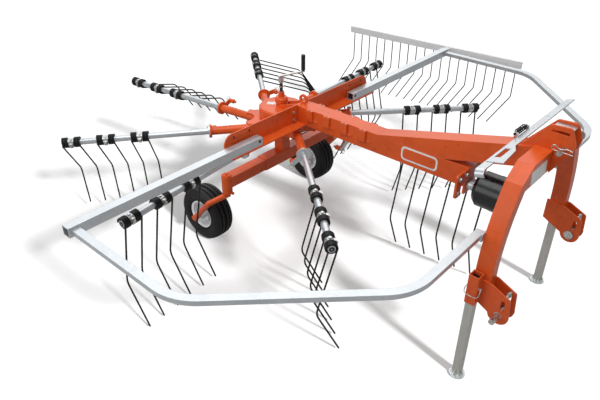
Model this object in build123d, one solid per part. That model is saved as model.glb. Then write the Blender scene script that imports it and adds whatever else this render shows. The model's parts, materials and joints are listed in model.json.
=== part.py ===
# Single rotor hay rake for the tractor's three-point hitch.
# Millimetres. +X runs forward to the tractor, +Y to the machine's left, +Z up.
# The rotor turns about the Z axis and the floor is z = 0.
# Every arm of the rotor is made once, lying along +X, and then laid in its place.
# Angles are in degrees.

from build123d import *
from math import atan2, cos, degrees, radians, sin, tan
import os

os.makedirs("parts", exist_ok=True)

# Clearances
slide_gap = 0.3
turn_gap = 0.05
seat_gap = 0.3

# Drive shaft: its height leads the boom, the gearbox, the rotor and the headstock
shaft_height = 765.0
shaft_dia = 34.9
shaft_body_dia = 40.0

# Rotor
arm_count = 8
first_arm_angle = -85.0
rotor_drop = 58.0
rotor_height = shaft_height - rotor_drop
arm_droop_angle = 1.25
arm_offset = 73.0
arm_reach = 1350.0
arm_tube_dia = 38.0
bearing_wall = 7.0
bearing_dia = arm_tube_dia + 2 * bearing_wall
bearing_end = 448.0
arm_inner_end = 262.0
notch_place = 330.0
notch_pitch = 22.0
notch_size = 7.0
notch_depth = 4.0
hub_star_radius = 235.0
hub_scallop_radius = 66.0
hub_cover = 8.0
hub_height = bearing_dia + hub_cover
column_radius = 45.0
tine_work_angle = 0.0
tine_half_angle = -30.0
tine_lift_angle = -60.0
arm_roll_angles = [tine_work_angle] * 5 + [tine_lift_angle] * 2 + [tine_half_angle]

# Spring tines: rows are counted inward from the arm's tip
tine_rows = 3
tine_row_inset = 53.0
tine_row_pitch = 204.5
tine_wire = 9.0
coil_play = 8.0
coil_dia = arm_tube_dia + 2 * tine_wire + coil_play
coil_length = 34.0
coil_spacing = 74.0
coil_sides = 12
clamp_dia = 50.0
clamp_bolt_dia = 18.0
clamp_bolt_height = 8.0
tine_floor_gap = 18.0
tine_drop = rotor_height - arm_reach * tan(radians(arm_droop_angle)) - tine_floor_gap
knee_back = -66.0
knee_share = 0.614
tip_lead = 58.0

# Roll lever of each arm
lever_arm = 86.0
lever_angle = -138.0
lever_thick = 10.0
lever_plate_thick = 8.0
lever_boss_dia = 28.0
lever_pin_dia = 14.0
lever_boss_back = 30.0
lever_pin_back = 46.0
flange_dia = 84.0

# Fixed gearbox above the rotor and column through it
gearbox_radius = 142.0
gearbox_gap = 8.0
gearbox_bottom = rotor_height + hub_height / 2 + gearbox_gap
gearbox_rise = 49.0
gearbox_top = shaft_height + gearbox_rise
gearbox_edge = 8.0
snout_radius = shaft_height - gearbox_bottom
bush_radius = 34.0
bush_height = 57.0
bush_top = gearbox_top + bush_height
bush_collar_height = 30.0
bush_collar_wall = 7.0
neck_radius = 20.0
neck_height = 33.0
neck_top = bush_top + neck_height
rib_thick = 8.0
rib_start = 20.0
post_side = 70.0
post_plate_side = 130.0
post_plate_thick = 12.0
collar_radius = 75.0
collar_height = 14.0

# Height crank on top
spindle_dia = 18.0
spindle_height = 96.0
spindle_top = neck_top + spindle_height
nut_height = 35.0
nut_dia = 34.0
crank_reach = 160.0
crank_angle = 73.0
crank_bar = 16.0
grip_length = 105.0
grip_dia = 26.0
grip_edge = 5.0

# Guard cup around the end of the drive shaft, behind the headstock
arch_rear = 1618.0
guard_cup_gap = 50.0
guard_cup_length = 196.0
guard_cup_front = arch_rear - guard_cup_gap
guard_cup_rear = guard_cup_front - guard_cup_length
guard_cup_dia = 188.0
guard_cup_wall = 5.0
guard_cup_edge = 22.0
guard_cup_seam = 98.0
guard_cup_lip = 1.5
sleeve_dia = 64.0
sleeve_seat = 20.0
shaft_step_gap = 4.0
shaft_step = guard_cup_rear + sleeve_seat + shaft_step_gap
shaft_end_inset = 33.0
shaft_end = guard_cup_front - shaft_end_inset

# Boom: a channel open below, closed in front by the bearing plate
boom_width = 100.0
boom_depth = 112.0
boom_bottom = shaft_height
boom_top = boom_bottom + boom_depth
boom_wall = 6.0
boom_rear = 160.0
boom_front_gap = 51.0
boom_front = guard_cup_rear - boom_front_gap
strut_rear = 770.0
strut_angle = 14.76
strut_depth = 110.0
pocket_first = 262.0
pocket_pitch = 130.0
pocket_count = 4
pocket_width = 46.0
pocket_depth = 14.0
pocket_height = 66.0
pocket_wall = 5.0
pocket_hole = 12.0
pocket_lip = 30.0
eye_dia = 62.0
eye_hole = 34.0
eye_thick = 12.0
eye_sink = 4.0
eye_inset = 26.0
eye_x = boom_rear + eye_inset
front_plate_width = 326.0
front_plate_height = 130.0
front_plate_thick = 12.0
front_leg_width = 48.0
front_leg_height = 60.0
front_corner = 14.0
bearing_plate_drop = 46.0

# Cross beams, side bars and guard rails
web_x = 176.0
web_thick = 8.0
web_rise = 8.0
web_top = boom_top + web_rise
web_end = 645.0
web_corner = 60.0
web_joggle = 45.0
shelf_depth = 78.0
shelf_thick = 8.0
bar_side = 50.0
bar_rise = 36.0
bar_height = shaft_height + bar_rise
bar_wall = 4.0
bar_offset = 40.0
bar_x = web_x + web_thick + bar_offset
bar_grip = 227.0
bar_inner = web_end - bar_grip
bar_outer = 1625.0
rail_width = 40.0
rail_height = 25.0
rail_inset = 35.0
rail_y = bar_outer - rail_inset
rail_corner_x = 935.0
rail_front_gap = 28.0
rail_front_x = arch_rear - rail_front_gap
rail_corner_cut = 645.0
rail_corner_y = rail_y - rail_corner_cut
rail_bend = 250.0

# Headstock
arch_depth = 80.0
arch_thick = 55.0
arch_half = 447.0
arch_bottom = 500.0
arch_rise = 228.0
arch_top = boom_top + arch_rise
arch_knee_drop = 295.0
arch_knee = arch_top - arch_knee_drop
arch_bend_reach = 200.0
arch_beam_height = 105.0
arch_shoulder_cut = 127.0
arch_shoulder_y = arch_half - arch_shoulder_cut
arch_shoulder_drop = 62.0
arch_shoulder_z = arch_top - arch_shoulder_drop
arch_corner_cut = 217.0
arch_corner_y = arch_half - arch_corner_cut
rail_end_over = 2.0
rail_end_y = arch_half + rail_end_over
rail_lug_inset = 8.0
rail_lug_length = arch_thick - rail_lug_inset
rail_lug_height = 40.0
mast_plate_thick = 10.0
mast_plate_gap = 60.0
mast_hole_reach = 120.0
mast_hole_x = arch_rear + mast_hole_reach
mast_hole_rise = 17.0
mast_hole_z = arch_top + mast_hole_rise
mast_rear_reach = 73.0
mast_rear_x = arch_rear - mast_rear_reach
mast_throat = 130.0
mast_slot_width = 80.0
mast_slot_height = 14.0
mast_slot_rise = 71.0
mast_corner = 22.0
top_pin_dia = 25.4
top_pin_out = 55.0
top_pin_tail = 15.0
top_pin_head_dia = 44.0
top_pin_head = 8.0
hitch_reach = 144.0
hitch_x = arch_rear + hitch_reach
hitch_z = 450.0
hitch_pin_dia = 28.0
hitch_pin_root_dia = 34.0
hitch_pin_out = 62.0
hitch_pin_nut = 14.0
bracket_thick = 8.0
bracket_boss = 50.0
bracket_overlap = 12.0
bracket_slot_width = 20.0
bracket_slot_length = 60.0
bracket_corner = 14.0

# Parking stands
socket_wall = 5.0
socket_bottom = 479.0
socket_top = 638.0
stand_side = 40.0
socket_side = stand_side + 2 * socket_wall
stand_wall = 4.0
stand_offset = 23.0
stand_x = arch_rear + stand_offset
stand_top_inset = 20.0
stand_top = socket_top - stand_top_inset
stand_hole = 12.0
stand_hole_height = 120.0
foot_dia = 80.0
foot_thick = 8.0
gusset_height = 36.0
gusset_thick = 5.0

# Axle, castors and wheels
tyre_dia = 360.0
tyre_width = 150.0
rim_dia = 170.0
axle_rise = 110.0
axle_height = tyre_dia + axle_rise
axle_beam_side = 70.0
axle_sleeve_side = 78.0
axle_sleeve_half = 190.0
axle_bush_y = 495.0
castor_bush_dia = 64.0
castor_bush_drop = 66.0
castor_bush_bottom = axle_height - castor_bush_drop
castor_bush_rise = 42.0
castor_bush_top = axle_height + castor_bush_rise
castor_bend_drop = 30.0
castor_bend_z = castor_bush_bottom - castor_bend_drop
castor_elbow_drop = 59.0
castor_elbow_z = castor_bush_bottom - castor_elbow_drop
castor_elbow_back = 45.0
castor_pin_dia = 35.0
castor_bar_dia = 35.0
castor_collar_height = 14.0
castor_cap_height = 6.0
castor_bolt_dia = 22.0
castor_bolt_height = 8.0
castor_trail_over = 10.0
castor_trail = tyre_dia / 2 + castor_trail_over
wheel_offset = 20.0
wheel_y = axle_bush_y + wheel_offset
castor_bar_gap = 25.0
castor_bar_y = wheel_y + tyre_width / 2 + castor_bar_gap
hub_dia = 62.0
hub_half = 60.0
axle_stub_dia = 25.0

# Rack for the spare arms, lying across the strut
rack_setback = 118.0
rack_x = arch_rear - rack_setback
rack_width = 43.0
rack_thick = 6.0
rack_left = 640.0
rack_right = -360.0
rack_holes = [-21.0, 168.0, 351.0]
rack_hole_dia = 9.0
rack_hook_start = -72.0
rack_hook_full = -132.0
rack_hook_end = -281.0
rack_hook_reach = 43.0
rack_window_rear = 16.0
rack_window_start = -113.0
rack_window_end = -225.0
rack_slit_rear = 8.0
rack_slit_width = 12.0
rack_slit_inset = 3.0
rack_curl = 24.0

# Swath curtain, slid out of the left side bar
curtain_count = 20
curtain_pitch = 75.0
curtain_gap = 43.0
curtain_y = bar_outer + curtain_gap
curtain_setback = 163.0
curtain_x = bar_x - curtain_setback
curtain_toe_angle = 4.4
curtain_tube_side = bar_side - 2 * bar_wall - 2 * slide_gap
curtain_profile_height = 50.0
curtain_profile_thick = 20.0
curtain_travel = 300.0
curtain_tube_grip = 150.0
curtain_wire = 8.0
curtain_knee_drop = 230.0
curtain_tip_drop = 480.0
curtain_tip_back = 150.0


pieces = {}


def save(shape, name):
    """Keep one sub-part under its name."""
    pieces[name] = shape


def block(x0, x1, y0, y1, z0, z1):
    """A box between two corners."""
    size = (x1 - x0, y1 - y0, z1 - z0)
    return Pos((x0 + x1) / 2, (y0 + y1) / 2, (z0 + z1) / 2) * Box(*size)


def centred_block(x, y, half_x, half_y, z0, z1):
    """An upright box about a point seen from above."""
    return block(x - half_x, x + half_x, y - half_y, y + half_y, z0, z1)


def rod(start, end, radius):
    """A round bar from one point to another."""
    start = Vector(*start)
    end = Vector(*end)
    plane = Plane(origin=start, z_dir=end - start)
    return extrude(plane * Circle(radius), (end - start).length)


def disc(x, y, z0, z1, radius):
    """An upright round bar."""
    return rod((x, y, z0), (x, y, z1), radius)


def prism(x0, x1, across, sides):
    """A bar of flat sides along X about the arm's axis, measured across its corners."""
    return extrude(Plane.YZ.offset(x0) * RegularPolygon(across / 2, sides), x1 - x0)


def side_plate(points, y0, y1):
    """A plate with its outline in X and Z, from y0 to y1."""
    outline = make_face(Polyline(*[(x, 0, z) for x, z in points], close=True))
    return Pos(0, y1, 0) * extrude(outline, y1 - y0, dir=(0, -1, 0))


def front_plate(points, x0, x1):
    """A plate with its outline in Y and Z, from x0 to x1."""
    outline = make_face(Polyline(*[(0, y, z) for y, z in points], close=True))
    return Pos(x0, 0, 0) * extrude(outline, x1 - x0, dir=(1, 0, 0))


def bar_run(points, section):
    """A bar along straight runs with mitred bends."""
    start = Vector(*points[0])
    heading = Vector(*points[1]) - start
    end = Plane(origin=start, z_dir=heading) * section
    return sweep(end, path=Polyline(*points), transition=Transition.RIGHT)


def both_sides(shape):
    """A left-hand shape with its mirror image."""
    return [shape, mirror(shape, about=Plane.XZ)]


def arm_place(index):
    """The place of one arm: its drooping axis, set left of the radius."""
    turn = first_arm_angle + index * 360.0 / arm_count
    return Rot(0, 0, turn) * Pos(0, arm_offset, rotor_height) * Rot(0, arm_droop_angle, 0)


def row_middle(row):
    """Where a double tine sits on the arm, counted from the tip."""
    return arm_reach - tine_row_inset - row * tine_row_pitch


def lever_plate(x0, x1):
    """Round flange with the arm that holds the lever's pin."""
    lever_y = lever_arm * cos(radians(lever_angle))
    lever_z = lever_arm * sin(radians(lever_angle))
    face = Plane(origin=(x0, 0, 0), x_dir=(0, 1, 0), z_dir=(1, 0, 0))
    link = Pos(lever_y / 2, lever_z / 2) * Rot(0, 0, lever_angle)
    link = link * Rectangle(lever_arm, lever_boss_dia)
    outline = Circle(flange_dia / 2) + link + Pos(lever_y, lever_z) * Circle(lever_boss_dia / 2)
    return extrude(face * outline, x1 - x0)


def roll_lever():
    """Inner and outer plate of the roll lever, with the boss and the quick pin at its end."""
    lever_y = lever_arm * cos(radians(lever_angle))
    lever_z = lever_arm * sin(radians(lever_angle))
    start = bearing_end + seat_gap
    split = start + lever_thick
    end = split + lever_plate_thick
    boss = rod((start - lever_boss_back, lever_y, lever_z), (start, lever_y, lever_z), lever_boss_dia / 2)
    pin = rod((start - lever_pin_back, lever_y, lever_z), (start, lever_y, lever_z), lever_pin_dia / 2)
    head = rod((end, lever_y, lever_z), (end + lever_plate_thick, lever_y, lever_z), lever_pin_dia / 2)
    return lever_plate(start, end) + boss + pin + head


def tine_clamp(row):
    """Saddle and bolt that hold one double tine on the arm."""
    middle = row_middle(row)
    half = (coil_spacing - coil_length) / 2
    saddle = prism(middle - half, middle + half, clamp_dia, coil_sides)
    bolt_top = clamp_dia / 2 + clamp_bolt_height
    bolt = extrude(Plane.XY * Pos(middle, 0) * RegularPolygon(clamp_bolt_dia / 2, 6), bolt_top)
    return saddle + bolt


def tine_arm():
    """One arm: tube with its journal, roll lever and tine clamps."""
    arm = rod((arm_inner_end, 0, 0), (arm_reach, 0, 0), arm_tube_dia / 2) + roll_lever()
    for row in range(tine_rows):
        arm += tine_clamp(row)
    return arm


def tine_pairs():
    """Double tines of one arm: the two coils of each and the wires that hang from them."""
    hole = arm_tube_dia / cos(radians(180 / coil_sides))
    mean = (coil_dia - tine_wire) / 2
    springs = []
    for row in range(tine_rows):
        for side in (-1, 1):
            centre = row_middle(row) + side * coil_spacing / 2
            start = centre - coil_length / 2
            coil = prism(start, start + coil_length, coil_dia, coil_sides)
            x = centre + side * (coil_length - tine_wire) / 2
            points = [(x, mean, 0), (x, knee_back, -tine_drop * knee_share), (x, tip_lead, -tine_drop)]
            coil += bar_run(points, RegularPolygon(tine_wire / 2, 6))
            springs.append(coil - prism(start - 1, start + coil_length + 1, hole, coil_sides))
    return Compound(springs)


def rotor_hub():
    """Turning hub: star-shaped casting with the eight bearing tubes of the arms."""
    bottom = rotor_height - hub_height / 2
    top = rotor_height + hub_height / 2
    hub = disc(0, 0, bottom, top, hub_star_radius)
    lean = degrees(atan2(arm_offset, hub_star_radius))
    for index in range(arm_count):
        turn = first_arm_angle + lean + (index + 0.5) * 360.0 / arm_count
        away = hub_star_radius + bearing_wall
        hub -= Rot(0, 0, turn) * disc(away, 0, bottom - 1, top + 1, hub_scallop_radius)
    tube = rod((column_radius + bearing_dia, 0, 0), (bearing_end, 0, 0), bearing_dia / 2)
    for step in range(2):
        x = notch_place + step * notch_pitch
        roof = bearing_dia / 2
        tube -= block(x, x + notch_size, -notch_size, notch_size, roof - notch_depth, roof + 1)
    bore = rod((arm_inner_end - 2, 0, 0), (bearing_end + 1, 0, 0), arm_tube_dia / 2 + turn_gap)
    for index in range(arm_count):
        hub += arm_place(index) * tube
    for index in range(arm_count):
        hub -= arm_place(index) * bore
    return hub - disc(0, 0, bottom - 30, top + 30, column_radius + turn_gap)


def gearbox():
    """Fixed gearbox over the rotor with the bush of the height spindle."""
    drum = disc(0, 0, gearbox_bottom, gearbox_top, gearbox_radius)
    drum = chamfer(drum.edges().group_by(Axis.Z)[-1], gearbox_edge)
    snout = rod((gearbox_radius - 20, 0, shaft_height), (boom_rear, 0, shaft_height), snout_radius)
    bush = disc(0, 0, gearbox_top - 1, bush_top, bush_radius)
    collar_top = bush_top - gearbox_edge / 2
    collar = disc(0, 0, collar_top - bush_collar_height, collar_top, bush_radius + bush_collar_wall)
    collar = chamfer(collar.edges().group_by(Axis.Z)[-1], bush_collar_wall - 1)
    neck = disc(0, 0, bush_top - 1, neck_top, neck_radius)
    return drum + snout + bush + collar + neck


def column():
    """Fixed column through the hub, its collar and the square post with its plate."""
    hub_bottom = rotor_height - hub_height / 2
    collar_bottom = hub_bottom - seat_gap - collar_height
    plate_bottom = collar_bottom - post_plate_thick
    beam_top = axle_height + axle_sleeve_side / 2
    shaft = disc(0, 0, collar_bottom, gearbox_bottom, column_radius)
    collar = disc(0, 0, collar_bottom, hub_bottom - seat_gap, collar_radius)
    plate = centred_block(0, 0, post_plate_side / 2, post_plate_side / 2, plate_bottom, collar_bottom)
    post = centred_block(0, 0, post_side / 2, post_side / 2, beam_top, plate_bottom)
    return shaft + collar + plate + post


def pocket():
    """Left pocket for a spare arm: a bracket round a slot, with a pierced ear above and a lip below."""
    half = boom_width / 2
    out = half + pocket_depth
    bottom = boom_top - pocket_height
    ear_bottom = boom_top - pocket_wall
    bracket = block(0, pocket_width, half, out, bottom, ear_bottom)
    bracket -= block(
        pocket_wall, pocket_width - pocket_wall, half, out - pocket_wall, bottom - 1, ear_bottom + 1
    )
    lip_end = pocket_width + pocket_lip
    lip = block(pocket_width, lip_end, half, half + pocket_wall, bottom, bottom + pocket_wall)
    ear_middle = pocket_width / 2
    ear = block(0, pocket_width, half, out, ear_bottom, boom_top)
    ear = chamfer(ear.edges().filter_by(Axis.Z).group_by(Axis.Y)[-1], pocket_wall)
    hole_y = half + pocket_depth / 2
    ear -= disc(ear_middle, hole_y, ear_bottom - 1, boom_top + 1, pocket_hole / 2)
    return bracket + lip + ear


def boom():
    """Downward open channel with the storage pockets and the two ribs behind it."""
    half = boom_width / 2
    channel = block(boom_rear, boom_front, -half, half, boom_bottom, boom_top)
    inside = half - boom_wall
    channel -= block(
        boom_rear - 1, boom_front + 1, -inside, inside, boom_bottom - 1, boom_top - boom_wall
    )
    for index in range(pocket_count):
        place = Pos(pocket_first + index * pocket_pitch, 0, 0)
        for side in both_sides(pocket()):
            channel += place * side
    points = [
        (rib_start, gearbox_top),
        (boom_rear, gearbox_top),
        (boom_rear, boom_top),
        (rib_start, bush_top - bush_collar_height - gearbox_edge),
    ]
    rib_out = inside - 2
    for side in both_sides(side_plate(points, rib_out - rib_thick, rib_out)):
        channel += side
    return channel


def strut_top(x):
    """Height of the strut's upper face."""
    return boom_top + (x - strut_rear) * tan(radians(strut_angle))


def strut():
    """Box beam that rises from the boom to the headstock."""
    half = boom_width / 2
    lower = strut_rear + strut_depth / tan(radians(strut_angle))
    points = [
        (strut_rear, boom_top),
        (lower, boom_top),
        (arch_rear, strut_top(arch_rear) - strut_depth),
        (arch_rear, strut_top(arch_rear)),
    ]
    return side_plate(points, -half, half)


def boom_flange():
    """Front plate with two legs, and the bearing plate that closes the boom."""
    half = front_plate_width / 2
    front = boom_front + front_plate_thick
    plate = block(boom_front, front, -half, half, boom_top - front_plate_height, boom_top)
    opening = half - front_leg_width
    plate_bottom = boom_top - front_plate_height
    plate -= block(
        boom_front - 1, front + 1, -opening, opening, plate_bottom - 1, plate_bottom + front_leg_height
    )
    plate = fillet(plate.edges().filter_by(Axis.X), front_corner)
    inside = boom_width / 2 - boom_wall
    plate += block(
        boom_front - front_plate_thick, boom_front, -inside, inside,
        shaft_height - bearing_plate_drop, boom_top - boom_wall,
    )
    return plate - rod((boom_rear, 0, shaft_height), (front + 1, 0, shaft_height), sleeve_dia / 2)


def bearing_sleeve():
    """Tube that holds the shaft's bearings between the boom and the guard cup."""
    rear = boom_front - front_plate_thick
    front = guard_cup_rear + sleeve_seat
    sleeve = rod((rear, 0, shaft_height), (front, 0, shaft_height), sleeve_dia / 2)
    bore = rod((rear - 1, 0, shaft_height), (front + 1, 0, shaft_height), shaft_body_dia / 2 + turn_gap)
    return sleeve - bore


def guard_cup():
    """Black cup around the end of the drive shaft, turned as one ring."""
    outer = guard_cup_dia / 2
    seat = sleeve_dia / 2
    rear, front = guard_cup_rear, guard_cup_front
    points = [
        (rear, seat),
        (rear, outer - guard_cup_edge),
        (rear + guard_cup_edge, outer - guard_cup_lip),
        (rear + guard_cup_seam, outer - guard_cup_lip),
        (rear + guard_cup_seam, outer),
        (front, outer),
        (front, outer - guard_cup_wall),
        (rear + guard_cup_edge, outer - guard_cup_wall),
        (rear + guard_cup_wall, outer - guard_cup_edge - guard_cup_wall),
        (rear + guard_cup_wall, seat + guard_cup_wall),
        (rear + sleeve_seat, seat + guard_cup_wall),
        (rear + sleeve_seat, seat),
    ]
    face = make_face(Polyline(*[(x, 0, r) for x, r in points], close=True))
    return Pos(0, 0, shaft_height) * revolve(face, Axis.X)


def drive_shaft():
    """Input shaft from the hitch end back to the gearbox."""
    rear = boom_rear + seat_gap
    body = rod((rear, 0, shaft_height), (shaft_step, 0, shaft_height), shaft_body_dia / 2)
    return body + rod((shaft_step, 0, shaft_height), (shaft_end, 0, shaft_height), shaft_dia / 2)


def crank():
    """Threaded spindle, nut and the crank's bar."""
    spindle = disc(0, 0, neck_top, spindle_top, spindle_dia / 2)
    nut = extrude(Pos(0, 0, spindle_top - nut_height) * RegularPolygon(nut_dia / 2, 6), nut_height)
    half = crank_bar / 2
    bar = block(-crank_bar, crank_reach + half, -half, half, spindle_top, spindle_top + half)
    return spindle + nut + Rot(0, 0, crank_angle) * bar


def crank_grip():
    """Black upright grip."""
    end_x = crank_reach * cos(radians(crank_angle))
    end_y = crank_reach * sin(radians(crank_angle))
    base = spindle_top + crank_bar / 2
    grip = disc(end_x, end_y, base, base + grip_length, grip_dia / 2)
    return chamfer(grip.edges().filter_by(GeomType.CIRCLE), grip_edge)


def lifting_eye():
    """Ring on top of the boom."""
    ring_z = boom_top + eye_dia / 2 - eye_sink
    ring = rod((eye_x, -eye_thick / 2, ring_z), (eye_x, eye_thick / 2, ring_z), eye_dia / 2)
    ring -= rod((eye_x, -eye_thick, ring_z), (eye_x, eye_thick, ring_z), eye_hole / 2)
    return ring - centred_block(eye_x, 0, eye_dia, eye_thick, boom_top - eye_dia, boom_top)


def cross_beam():
    """Left web with its shelf for the side bar."""
    half = boom_width / 2
    front = web_x + web_thick
    web = block(web_x, front, half, web_end, boom_bottom, web_top)
    corner = web.edges().filter_by(Axis.X).group_by(Axis.Y)[-1].sort_by(Axis.Z)[-1]
    web = fillet(corner, web_corner)
    joggle = web_end - web_joggle
    pad = block(front, front + web_thick / 2, joggle, web_end, boom_bottom, web_top - web_corner)
    shelf_top = bar_height - bar_side / 2
    shelf = block(web_x, web_x + shelf_depth, half, web_end, shelf_top - shelf_thick, shelf_top)
    return web + pad + shelf


def side_bar():
    """Left square bar on the cross beam."""
    z = bar_height
    half = bar_side / 2
    inside = half - bar_wall
    bar = block(bar_x - half, bar_x + half, bar_inner, bar_outer, z - half, z + half)
    return bar - block(
        bar_x - inside, bar_x + inside, bar_inner - 1, bar_outer + 1, z - inside, z + inside
    )


def guard_rail():
    """Left rail from the side bar round the rotor to the headstock, with its bolting lug."""
    z = bar_height
    half = rail_width / 2
    start = (bar_x + bar_side / 2, rail_y, z)
    points = [
        start,
        (rail_corner_x, rail_y, z),
        (rail_front_x, rail_corner_y, z),
        (rail_front_x, rail_end_y, z),
    ]
    path = FilletPolyline(*points, radius=rail_bend)
    section = Plane(origin=start, x_dir=(0, 1, 0), z_dir=(1, 0, 0)) * Rectangle(rail_width, rail_height)
    rail = sweep(section, path=path)
    inner_y = rail_end_y - rail_lug_length
    low = z - rail_height / 2
    foot = block(rail_front_x - half, rail_front_x + half, inner_y, rail_end_y + 1, low, low + rail_height)
    lug_half = rail_lug_height / 2
    lug = block(rail_front_x + half, arch_rear, inner_y, rail_end_y - 4, z - lug_half, z + lug_half)
    return rail + foot + lug


def arch():
    """Inverted U with long bends at the knees, mitred shoulders and a deep beam on top."""
    t = arch_thick
    outer = [
        (arch_half, arch_bottom),
        (arch_half, arch_knee),
        (arch_shoulder_y, arch_shoulder_z),
        (arch_corner_y, arch_top),
    ]
    turn = atan2(arch_half - arch_shoulder_y, arch_shoulder_z - arch_knee)
    inner_knee = arch_knee - t * tan(turn / 2)
    beam_bottom = arch_top - arch_beam_height
    inner = [
        (arch_half - t - (beam_bottom - inner_knee) * tan(turn), beam_bottom),
        (arch_half - t, inner_knee),
        (arch_half - t, arch_bottom),
    ]
    outline = outer + [(-y, z) for y, z in reversed(outer)]
    outline += [(-y, z) for y, z in reversed(inner)] + inner
    body = front_plate(outline, arch_rear, arch_rear + arch_depth)
    bend = min(arch_bend_reach, arch_knee - arch_bottom - t) / tan(turn / 2)
    for place, radius in ((outer[1], bend), (inner[1], bend - t)):
        for side in (-1, 1):
            spot = Vector(arch_rear + arch_depth / 2, side * place[0], place[1])
            corners = body.edges().filter_by(Axis.X)
            nearest = min(corners, key=lambda edge: (edge.center() - spot).length)
            body = fillet(nearest, radius)
    return body


def mast_plates():
    """Two plates that carry the top link pin."""
    front = arch_rear + arch_depth
    hole = (mast_hole_x, mast_hole_z)
    points = [
        (mast_rear_x, strut_top(mast_rear_x)),
        (hole[0] - 73, hole[1] + 97),
        (hole[0] + 19, hole[1] + 103),
        (hole[0] + 47, hole[1] + 29),
        (hole[0] + 40, hole[1] - 4),
        (front + 4, hole[1] - mast_throat),
        (front, hole[1] - mast_throat),
        (front, arch_top),
        (arch_rear + 10, arch_top),
        (arch_rear, strut_top(arch_rear)),
    ]
    inner = mast_plate_gap / 2
    plate = side_plate(points, inner, inner + mast_plate_thick)
    plate = fillet(plate.edges().filter_by(Axis.Y).sort_by(Axis.Z)[-2:], mast_corner)
    plate -= rod((hole[0], 0, hole[1]), (hole[0], 2 * inner, hole[1]), top_pin_dia / 2)
    slot_z = hole[1] + mast_slot_rise
    slot = Plane.XZ * Pos(hole[0] - 28, slot_z) * SlotOverall(mast_slot_width, mast_slot_height)
    plate -= extrude(slot, 4 * inner, both=True)
    return Compound(both_sides(plate - arch()))


def top_pin():
    """Pin of the top link with its round head."""
    outer = mast_plate_gap / 2 + mast_plate_thick
    x, z = mast_hole_x, mast_hole_z
    pin = rod((x, -outer - top_pin_out, z), (x, outer + top_pin_tail, z), top_pin_dia / 2)
    head = rod((x, outer, z), (x, outer + top_pin_head, z), top_pin_head_dia / 2)
    return pin + head


def bracket_plate(y0, y1):
    """One plate of the lower hitch bracket, with its rounded boss, its bore and the slot above."""
    rear = arch_rear - bracket_overlap
    outline = [
        (rear, hitch_z + 46),
        (hitch_x - 46, hitch_z - 10),
        (hitch_x, hitch_z),
        (hitch_x + bracket_boss - 1, hitch_z + 4),
        (hitch_x + 42, hitch_z + 104),
        (hitch_x - 52, hitch_z + 147),
        (rear, hitch_z + 160),
    ]
    plate = side_plate(outline, y0, y1)
    corner = plate.edges().filter_by(Axis.Y).group_by(Axis.X)[-2]
    plate = fillet(corner, bracket_corner)
    plate += rod((hitch_x, y0, hitch_z), (hitch_x, y1, hitch_z), bracket_boss)
    slot_z = hitch_z + hitch_pin_root_dia / 2 + bracket_slot_length / 2 + 12
    slot = Plane.XZ * Pos(hitch_x + 12, slot_z) * Rot(0, 0, 90)
    slot = slot * SlotOverall(bracket_slot_length, bracket_slot_width)
    plate -= Pos(0, y1 + 1, 0) * extrude(slot, y1 - y0 + 2)
    return plate - rod((hitch_x, y0 - 1, hitch_z), (hitch_x, y1 + 1, hitch_z), hitch_pin_root_dia / 2)


def stand_y():
    """Middle of the left stand."""
    return arch_half + bracket_thick + socket_side / 2


def hitch_bracket():
    """Left pair of plates for the lower link, with the stand's socket."""
    inner_face = arch_half - arch_thick
    inner = bracket_plate(inner_face - bracket_thick, inner_face)
    outer = bracket_plate(arch_half, arch_half + bracket_thick)
    half = socket_side / 2
    hole = stand_side / 2 + slide_gap
    socket = centred_block(stand_x, stand_y(), half, half, socket_bottom, socket_top)
    socket -= centred_block(stand_x, stand_y(), hole, hole, socket_bottom - 1, socket_top + 1)
    return Compound([inner, outer + socket])


def hitch_pin():
    """Left lower link pin with its nut inside."""
    inner_face = arch_half - arch_thick - bracket_thick
    outer_face = arch_half + bracket_thick
    x, z = hitch_x, hitch_z
    root = rod((x, inner_face - hitch_pin_nut, z), (x, outer_face, z), hitch_pin_root_dia / 2)
    pin = rod((x, outer_face, z), (x, outer_face + hitch_pin_out, z), hitch_pin_dia / 2)
    nut = rod((x, inner_face - hitch_pin_nut, z), (x, inner_face, z), hitch_pin_root_dia / 2 + 7)
    return root + pin + nut


def stand():
    """Left parking stand: square tube on a round foot with four gussets."""
    y = stand_y()
    half = stand_side / 2
    inside = half - stand_wall
    tube = centred_block(stand_x, y, half, half, foot_thick, stand_top)
    tube -= centred_block(stand_x, y, inside, inside, foot_thick, stand_top + 1)
    foot = disc(stand_x, y, 0, foot_thick, foot_dia / 2)
    reach = foot_dia / 2 - 4
    points = [(half, foot_thick), (reach, foot_thick), (half, foot_thick + gusset_height)]
    gusset = side_plate(points, -gusset_thick / 2, gusset_thick / 2)
    body = tube + foot
    for quarter in range(4):
        body += Pos(stand_x, y, 0) * Rot(0, 0, 90 * quarter) * gusset
    hole_start = (stand_x - stand_side, y, stand_hole_height)
    return body - rod(hole_start, (stand_x + stand_side, y, stand_hole_height), stand_hole / 2)


def axle_beam():
    """Square beam under the rotor with a sleeve in the middle and a castor bush at each end."""
    half = axle_beam_side / 2
    thick = axle_sleeve_side / 2
    beam = block(-half, half, -axle_bush_y, axle_bush_y, axle_height - half, axle_height + half)
    beam += block(
        -thick, thick, -axle_sleeve_half, axle_sleeve_half, axle_height - thick, axle_height + thick
    )
    for side in (-1, 1):
        y = side * axle_bush_y
        beam += disc(0, y, castor_bush_bottom, castor_bush_top, castor_bush_dia / 2)
    for side in (-1, 1):
        y = side * axle_bush_y
        beam -= disc(0, y, castor_bush_bottom - 1, castor_bush_top + 1, castor_pin_dia / 2 + turn_gap)
    return beam


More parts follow.
